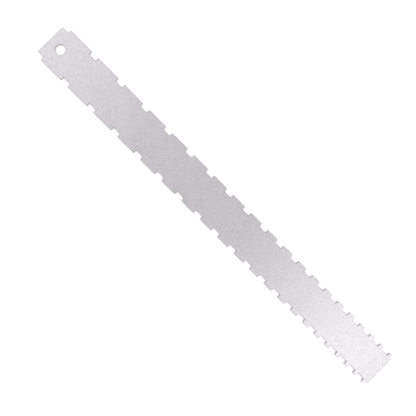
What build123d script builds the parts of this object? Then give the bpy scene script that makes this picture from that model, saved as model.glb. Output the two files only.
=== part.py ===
"""Notched straightedge for guitar necks: one flat steel blade, millimetres.

The blade lies flat with +Z up and its length along X. Each long edge is ground straight and is notched
to clear the frets of one scale length, so that the teeth between the notches rest on the fingerboard.
The longer scale is along the +Y edge and the shorter one along the -Y edge. Both start at one nut line,
close to the end with the hanging hole. The origin is under the middle of the blade, on its lower face.
"""

import os

from build123d import *

os.makedirs("parts", exist_ok=True)

INCH = 25.4
SEMITONES = 12  # frets to an octave, which halves the string

# Neck scales that the two edges are notched for
long_scale = 25.5 * INCH
long_scale_last_fret = 20
short_scale = 24.75 * INCH
short_scale_last_fret = 21

# Blade
blade_width = 39.0
blade_thickness = 3.0
nut_inset = 2.2  # from the end with the hole to the nut line
nut_clearance = 5.2  # past the nut line, where both corners are cut away for the nut
end_step = 2.0  # what the far end leaves of the last notch on the long scale
arris = 0.2  # chamfer that breaks every edge of the two faces

# Notches
notch_width = 8.5
notch_depth = 3.6
notch_corner_radius = 0.4

# Hanging hole, on the centre line
hole_diameter = 9.7
hole_inset = 13.3  # from the end of the blade to the hole's centre


def fret_distance(scale, fret):
    """Distance from the nut to a fret, when each fret shortens the string by the same ratio."""
    return scale * (1 - 2 ** (-fret / SEMITONES))


last_notch_start = fret_distance(long_scale, long_scale_last_fret) - notch_width / 2
blade_length = nut_inset + last_notch_start + end_step
hole_end_x = -blade_length / 2
far_end_x = blade_length / 2
nut_x = hole_end_x + nut_inset


def notch_centres(scale, last_fret, edge_y):
    """Centres of the notches along one edge, from the first fret to the last that bites into the blade."""
    centres = []
    for fret in range(1, last_fret + 1):
        x = nut_x + fret_distance(scale, fret)
        if x - notch_width / 2 < far_end_x - notch_corner_radius:
            centres.append((x, edge_y))
    return centres


with BuildPart() as blade:
    with BuildSketch(Plane.XY) as outline:
        Rectangle(blade_length, blade_width)
        with Locations(
            *notch_centres(long_scale, long_scale_last_fret, blade_width / 2),
            *notch_centres(short_scale, short_scale_last_fret, -blade_width / 2),
        ):
            RectangleRounded(notch_width, 2 * notch_depth, notch_corner_radius, mode=Mode.SUBTRACT)
        with Locations((hole_end_x, blade_width / 2), (hole_end_x, -blade_width / 2)):
            RectangleRounded(
                2 * (nut_inset + nut_clearance), 2 * notch_depth, notch_corner_radius, mode=Mode.SUBTRACT
            )
    extrude(amount=blade_thickness)
    with Locations((hole_end_x + hole_inset, 0, blade_thickness)):
        Hole(radius=hole_diameter / 2)
    chamfer(blade.faces().filter_by(Axis.Z).edges(), length=arris)

blade.part.label = "blade"
export_step(blade.part, "parts/blade.step")
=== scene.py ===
"""Looks of a notched straightedge for guitar necks: one satin steel blade on a white light table.

The blade keeps its CAD mesh and gets its finish here: fine-grained ground faces, machined notch walls and
ground tooth tips. Its arrises carry painted shade, a dark colour that stands in for the dark surroundings
they reflect.
The stage is the table, its soft boxes and the camera.
"""

import math

import bpy
from bpy.props import FloatProperty, FloatVectorProperty, PointerProperty
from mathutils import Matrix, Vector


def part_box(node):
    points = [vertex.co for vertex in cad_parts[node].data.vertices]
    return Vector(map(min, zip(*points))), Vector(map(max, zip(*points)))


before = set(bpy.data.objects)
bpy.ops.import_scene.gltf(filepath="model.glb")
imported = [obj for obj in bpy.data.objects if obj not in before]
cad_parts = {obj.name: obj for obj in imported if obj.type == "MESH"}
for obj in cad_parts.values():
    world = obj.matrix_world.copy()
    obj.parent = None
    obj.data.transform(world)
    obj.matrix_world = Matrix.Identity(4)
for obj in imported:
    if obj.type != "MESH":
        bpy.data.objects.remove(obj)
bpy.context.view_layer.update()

bl_info = {
    "name": "Notched Straightedge",
    "version": (1, 0, 0),
    "blender": (4, 5, 0),
    "location": "3D View > Sidebar > Straightedge",
    "description": "Finishes the steel blade of a notched straightedge and sets its stage",
    "category": "Object",
}

BLADE_LOW, BLADE_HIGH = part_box("blade")
MM_PER_M = 1000.0
TABLE_GAP = 0.0001  # keeps the table's top clear of the blade's lower face
SENSOR_WIDTH = 36.0
CLIP_START = 0.01


class Wire:
    """One output in a node tree. An operator on it adds a Math node, or a Vector Math node on a vector."""

    def __init__(self, tree, socket=None):
        self.tree = tree
        self.socket = socket

    def node(self, kind, settings=None, inputs=None, output=0):
        """Adds a node. Its settings are set first, and then its inputs are linked or given their values."""
        made = self.tree.nodes.new(kind)
        for name, value in (settings or {}).items():
            setattr(made, name, value)
        for name, value in (inputs or {}).items():
            self.feed(made.inputs[name], value)
        return Wire(self.tree, made.outputs[output])

    def feed(self, socket, value):
        """Links a wire to an input, or gives the input a fixed value."""
        if isinstance(value, Wire):
            self.tree.links.new(value.socket, socket)
        else:
            socket.default_value = value

    def maths(self, operation, *values):
        """A Math node on these values, or a Vector Math node if one of them is a vector."""
        wires = [v for v in values if isinstance(v, Wire)]
        if all(w.socket.type == "VALUE" for w in wires):
            return self.node("ShaderNodeMath", {"operation": operation}, dict(enumerate(values)))
        values = [v if isinstance(v, (Wire, tuple)) else (v, v, v) for v in values]
        return self.node("ShaderNodeVectorMath", {"operation": operation}, dict(enumerate(values)))

    def __add__(self, other):
        return self.maths("ADD", self, other)

    def __radd__(self, other):
        return self.maths("ADD", other, self)

    def __sub__(self, other):
        return self.maths("SUBTRACT", self, other)

    def __rsub__(self, other):
        return self.maths("SUBTRACT", other, self)

    def __mul__(self, other):
        return self.maths("MULTIPLY", self, other)

    def __rmul__(self, other):
        return self.maths("MULTIPLY", other, self)

    def __abs__(self):
        return self.maths("ABSOLUTE", self)

    def axis(self, letter):
        """The X, Y or Z of a vector."""
        return self.node("ShaderNodeSeparateXYZ", inputs={0: self}, output=letter)

    def step(self, low, high):
        """Rises smoothly from 0 at low to 1 at high."""
        settings = {"interpolation_type": "SMOOTHSTEP"}
        inputs = {"Value": self, "From Min": low, "From Max": high}
        return self.node("ShaderNodeMapRange", settings, inputs)

    def turned(self, degrees):
        """A position turned about Z."""
        settings = {"rotation_type": "Z_AXIS"}
        inputs = {"Vector": self, "Angle": math.radians(degrees)}
        return self.node("ShaderNodeVectorRotate", settings, inputs)

    def noise(self, scale, detail=2.0, roughness=0.5):
        """Soft noise, about -0.5 to 0.5, with this many blobs to a millimetre."""
        inputs = {"Vector": self, "Scale": scale, "Detail": detail, "Roughness": roughness}
        return self.node("ShaderNodeTexNoise", inputs=inputs, output=0) - 0.5

    def tinted(self, colour):
        """A colour made this much brighter."""
        return self.node("ShaderNodeVectorMath", {"operation": "SCALE"}, {0: tuple(colour), "Scale": self})

    def blend(self, first, second):
        """The first colour where this is 0 and the second where it is 1."""
        inputs = {"Factor": self, "A": first, "B": second}
        mixed = self.node("ShaderNodeMix", {"data_type": "RGBA"}, output="Result")
        mixer = mixed.socket.node
        for name, value in inputs.items():
            wanted = "VALUE" if name == "Factor" else "RGBA"
            socket = next(s for s in mixer.inputs if s.name == name and s.type == wanted)
            self.feed(socket, value)
        return Wire(self.tree, next(s for s in mixer.outputs if s.type == "RGBA"))


class SteelProperties(bpy.types.PropertyGroup):
    """Colours and surface of the blade's steel."""

    face_colour: FloatVectorProperty(
        name="Face colour",
        description="Colour of the two large faces",
        subtype="COLOR",
        default=(0.752, 0.72, 0.759),
        min=0.0,
        max=1.0,
    )
    cut_colour: FloatVectorProperty(
        name="Cut colour",
        description="Colour of the walls of the notches, the ends and the hole",
        subtype="COLOR",
        default=(0.56, 0.545, 0.565),
        min=0.0,
        max=1.0,
    )
    tip_colour: FloatVectorProperty(
        name="Tip colour",
        description="Colour of the ground tips of the teeth",
        subtype="COLOR",
        default=(0.46, 0.45, 0.465),
        min=0.0,
        max=1.0,
    )
    # Painted shade: the arrises' dark colour stands in for the dark reflection of the surroundings in the
    # broken edges.
    painted_arris_shade: FloatVectorProperty(
        name="Arris painted shade",
        description="Colour of the broken edges around the two faces",
        subtype="COLOR",
        default=(0.09, 0.087, 0.091),
        min=0.0,
        max=1.0,
    )
    face_roughness: FloatProperty(
        name="Face roughness",
        description="Roughness of the two large faces",
        subtype="FACTOR",
        default=0.33,
        min=0.0,
        max=1.0,
    )
    cut_roughness: FloatProperty(
        name="Cut roughness",
        description="Roughness of the machined walls",
        subtype="FACTOR",
        default=0.5,
        min=0.0,
        max=1.0,
    )
    tip_roughness: FloatProperty(
        name="Tip roughness",
        description="Roughness of the ground tips of the teeth",
        subtype="FACTOR",
        default=0.3,
        min=0.0,
        max=1.0,
    )
    mottle: FloatProperty(
        name="Mottle",
        description="How much the faces vary from lighter to darker, from wide patches down to fine grain",
        subtype="FACTOR",
        default=0.12,
        min=0.0,
        max=1.0,
    )
    grain_depth: FloatProperty(
        name="Grain depth",
        description="Height of the fine grain of the faces",
        unit="LENGTH",
        default=0.000004,
        min=0.0,
        precision=6,
    )
    line_depth: FloatProperty(
        name="Line depth",
        description="Height of the grinding lines along the blade",
        unit="LENGTH",
        default=0.000003,
        min=0.0,
        precision=6,
    )


class StageProperties(bpy.types.PropertyGroup):
    """The light table, its lights and the camera."""

    table_size: FloatProperty(
        name="Table size",
        description="Side of the square light table",
        unit="LENGTH",
        default=8.0,
        min=1.0,
    )
    table_glow: FloatProperty(
        name="Table glow",
        description="Light that the table itself gives off",
        default=0.45,
        min=0.0,
    )
    room_light: FloatProperty(
        name="Room light",
        description="Brightness of the pale room",
        default=0.675,
        min=0.0,
    )
    box_height: FloatProperty(
        name="Soft box height",
        description="Height of the soft boxes above the table",
        unit="LENGTH",
        default=1.5,
        min=0.5,
    )
    near_box_power: FloatProperty(
        name="Hole end light",
        description="Power of the soft box over the end with the hole",
        unit="POWER",
        default=2.02,
        min=0.0,
    )
    far_box_power: FloatProperty(
        name="Far end light",
        description="Power of the soft box over the other end",
        unit="POWER",
        default=2.5,
        min=0.0,
    )
    near_box_tint: FloatVectorProperty(
        name="Hole end tint",
        description="Colour of the light over the end with the hole",
        subtype="COLOR",
        default=(0.95, 0.97, 1.0),
        min=0.0,
        max=1.0,
    )
    far_box_tint: FloatVectorProperty(
        name="Far end tint",
        description="Colour of the light over the other end",
        subtype="COLOR",
        default=(0.965, 1.0, 0.96),
        min=0.0,
        max=1.0,
    )
    lens: FloatProperty(
        name="Lens",
        description="Focal length of the camera, in millimetres on a 36 mm sensor",
        default=54.93,
        min=10.0,
    )
    camera_place: FloatVectorProperty(
        name="Camera place",
        description="Where the camera stands",
        subtype="TRANSLATION",
        unit="LENGTH",
        default=(-0.0493, -0.035, 0.6),
    )
    camera_turn: FloatVectorProperty(
        name="Camera turn",
        description="How the camera is turned",
        subtype="EULER",
        unit="ROTATION",
        default=tuple(math.radians(a) for a in (-0.84, -4.7, 45.11)),
    )


def new_material(name):
    """An empty material, the wire that starts its tree, its shader and its output."""
    material = bpy.data.materials.new(name)
    material.use_nodes = True
    tree = material.node_tree
    tree.nodes.clear()
    shader = tree.nodes.new("ShaderNodeBsdfPrincipled")
    output = tree.nodes.new("ShaderNodeOutputMaterial")
    tree.links.new(shader.outputs["BSDF"], output.inputs["Surface"])
    return material, Wire(tree), shader


def finish_masks(place, facing):
    """Masks of the walls, of the walls that are tooth tips, and of the arrises: 1 there and 0 elsewhere."""
    upright = abs(facing.axis("Z"))
    wall = 1 - upright.step(0.25, 0.6)
    arris = upright.step(0.3, 0.65) * (1 - upright.step(0.75, 0.95))
    half_width = BLADE_HIGH.y * MM_PER_M
    outermost = abs(place.axis("Y")).step(half_width - 0.6, half_width - 0.3)
    tip = wall * outermost * abs(facing.axis("Y")).step(0.7, 0.9)
    return wall, tip, arris


def satin_steel(look):
    """Ground steel with machined walls, and painted shade on the arrises. Each finish and the painted shade
    are chosen by which way the surface faces.
    """
    material, start, shader = new_material("satin_steel")
    place = start.node("ShaderNodeTexCoord", output="Object") * MM_PER_M
    facing = start.node("ShaderNodeTexCoord", output="Normal")
    wall, tip, arris = finish_masks(place, facing)

    # Patterns of the faces, from the widest to the finest
    clouds = place.noise(0.018, 2.0)
    patches = place.noise(0.16, 3.0, 0.6)
    specks = place.noise(0.9, 2.0, 0.6)
    grain = place.noise(3.2, 2.0, 0.6)
    lines = (place * (0.035, 5.5, 1.0)).noise(1.0, 2.0, 0.65)
    stray_lines = (place.turned(7.0) * (0.05, 2.6, 1.0)).noise(1.0, 1.0)
    scratches = stray_lines.step(0.2, 0.27)

    # Tool marks, up the walls and along the tips
    up_wall = (place * (1.0, 1.0, 0.12)).noise(4.0, 2.0, 0.6)
    along_tip = (place * (0.15, 0.15, 6.0)).noise(1.0, 2.0, 0.6)

    unevenness = clouds * 0.5 + patches * 0.5 + specks * 5.2 + grain * 6.0 + lines * 0.5
    face_paint = (1 + unevenness * look.mottle).tinted(look.face_colour)
    cut_shade = 1 + up_wall * 0.5
    cut_paint = cut_shade.tinted(look.cut_colour)
    tip_paint = (1 + along_tip * 0.25).tinted(look.tip_colour)
    # Painted shade on the arrises: their dark colour stands in for the dark surroundings that the broken
    # edges reflect, with the walls' tool marks on top.
    arris_shade_paint = cut_shade.tinted(look.painted_arris_shade)
    colour = tip.blend(wall.blend(face_paint, cut_paint), tip_paint)
    start.feed(shader.inputs["Base Color"], arris.blend(colour, arris_shade_paint))

    face_roughness = look.face_roughness + patches * 0.06 + lines * 0.08 + grain * 0.05 - scratches * 0.04
    wall_roughness = look.cut_roughness + up_wall * 0.15
    roughness = face_roughness * (1 - wall) + wall_roughness * wall - arris * 0.06
    roughness = roughness * (1 - tip) + look.tip_roughness * tip
    start.feed(shader.inputs["Roughness"], roughness)

    # Relief, in millimetres
    scratch_depth = 0.001
    wall_mark_depth = 0.012
    tip_mark_depth = 0.003
    face_relief = grain * (look.grain_depth * MM_PER_M) + lines * (look.line_depth * MM_PER_M)
    face_relief = face_relief + specks * (look.grain_depth * MM_PER_M) - scratches * scratch_depth
    wall_relief = up_wall * wall_mark_depth * (1 - tip) + along_tip * tip_mark_depth * tip
    relief = face_relief * (1 - wall) + wall_relief * wall
    bump_inputs = {"Height": relief, "Distance": 1 / MM_PER_M, "Strength": 1.0}
    bump = start.node("ShaderNodeBump", inputs=bump_inputs, output="Normal")
    start.feed(shader.inputs["Normal"], bump)
    shader.inputs["Metallic"].default_value = 1.0
    return material


def light_table_white(glow):
    """White acrylic that glows a little, with a faint unevenness."""
    material, start, shader = new_material("light_table")
    place = start.node("ShaderNodeTexCoord", output="Object")
    unevenness = place.noise(1.5, 2.0)
    white = unevenness.step(-0.5, 0.5).blend((0.93, 0.93, 0.93, 1.0), (0.95, 0.95, 0.95, 1.0))
    start.feed(shader.inputs["Base Color"], white)
    shader.inputs["Roughness"].default_value = 0.9
    shader.inputs["Specular IOR Level"].default_value = 0.0
    shader.inputs["Emission Color"].default_value = (1.0, 1.0, 1.0, 1.0)
    shader.inputs["Emission Strength"].default_value = glow
    return material


def soft_box(name, place, size, power, tint):
    """A large rectangular light that hangs level and shines straight down."""
    bpy.ops.object.light_add(type="AREA", location=place)
    lamp = bpy.context.object
    lamp.name = name
    lamp.data.shape = "RECTANGLE"
    lamp.data.size, lamp.data.size_y = size
    lamp.data.energy = power
    lamp.data.color = tint


class STRAIGHTEDGE_OT_finish_blade(bpy.types.Operator):
    """Gives the blade its satin steel"""

    bl_idname = "straightedge.finish_blade"
    bl_label = "Finish Blade"

    def execute(self, context):
        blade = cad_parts["blade"]
        material = satin_steel(context.scene.straightedge_steel)
        for slot in blade.material_slots:
            slot.material = material
        if not blade.material_slots:
            blade.data.materials.append(material)
        return {"FINISHED"}


class STRAIGHTEDGE_OT_set_stage(bpy.types.Operator):
    """Sets the light table, the soft boxes, the room and the camera"""

    bl_idname = "straightedge.set_stage"
    bl_label = "Set Stage"

    def execute(self, context):
        stage = context.scene.straightedge_stage
        bpy.ops.object.select_all(action="DESELECT")
        table_top = (0.0, 0.0, BLADE_LOW.z - TABLE_GAP)
        bpy.ops.mesh.primitive_plane_add(size=stage.table_size, location=table_top)
        table = context.object
        table.name = "light_table"
        table.data.materials.append(light_table_white(stage.table_glow))

        # Each soft box hangs this far out from the middle and off to the side, and is this deep
        out = 0.8
        aside = 0.07
        depth = 1.8
        near_place = (-out, aside, stage.box_height)
        far_place = (out, aside, stage.box_height)
        soft_box("near_soft_box", near_place, (0.8, depth), stage.near_box_power, stage.near_box_tint)
        soft_box("far_soft_box", far_place, (0.4, depth), stage.far_box_power, stage.far_box_tint)

        world = bpy.data.worlds.new("pale_room")
        world.use_nodes = True
        background = world.node_tree.nodes["Background"]
        background.inputs["Color"].default_value = (1.0, 1.0, 1.0, 1.0)
        background.inputs["Strength"].default_value = stage.room_light
        context.scene.world = world

        bpy.ops.object.camera_add(location=stage.camera_place, rotation=stage.camera_turn)
        camera = context.object
        camera.data.sensor_width = SENSOR_WIDTH
        camera.data.lens = stage.lens
        camera.data.clip_start = CLIP_START
        context.scene.camera = camera
        context.scene.view_settings.view_transform = "Standard"
        return {"FINISHED"}


class STRAIGHTEDGE_PT_sidebar(bpy.types.Panel):
    """Lists the steps that build the straightedge's looks"""

    bl_idname = "STRAIGHTEDGE_PT_sidebar"
    bl_label = "Notched Straightedge"
    bl_space_type = "VIEW_3D"
    bl_region_type = "UI"
    bl_category = "Straightedge"

    def draw(self, context):
        for title, group, step in (
            ("Blade", context.scene.straightedge_steel, "straightedge.finish_blade"),
            ("Stage", context.scene.straightedge_stage, "straightedge.set_stage"),
        ):
            box = self.layout.box()
            box.label(text=title)
            for name in group.__annotations__:
                box.prop(group, name)
            box.operator(step)


CLASSES = (
    SteelProperties,
    StageProperties,
    STRAIGHTEDGE_OT_finish_blade,
    STRAIGHTEDGE_OT_set_stage,
    STRAIGHTEDGE_PT_sidebar,
)


def register():
    for kind in CLASSES:
        bpy.utils.register_class(kind)
    bpy.types.Scene.straightedge_steel = PointerProperty(type=SteelProperties)
    bpy.types.Scene.straightedge_stage = PointerProperty(type=StageProperties)


def unregister():
    del bpy.types.Scene.straightedge_stage
    del bpy.types.Scene.straightedge_steel
    for kind in reversed(CLASSES):
        bpy.utils.unregister_class(kind)


def main():
    """Builds the looks around the frame."""
    register()
    bpy.ops.straightedge.finish_blade()
    bpy.ops.straightedge.set_stage()


if __name__ == "__main__":
    main()
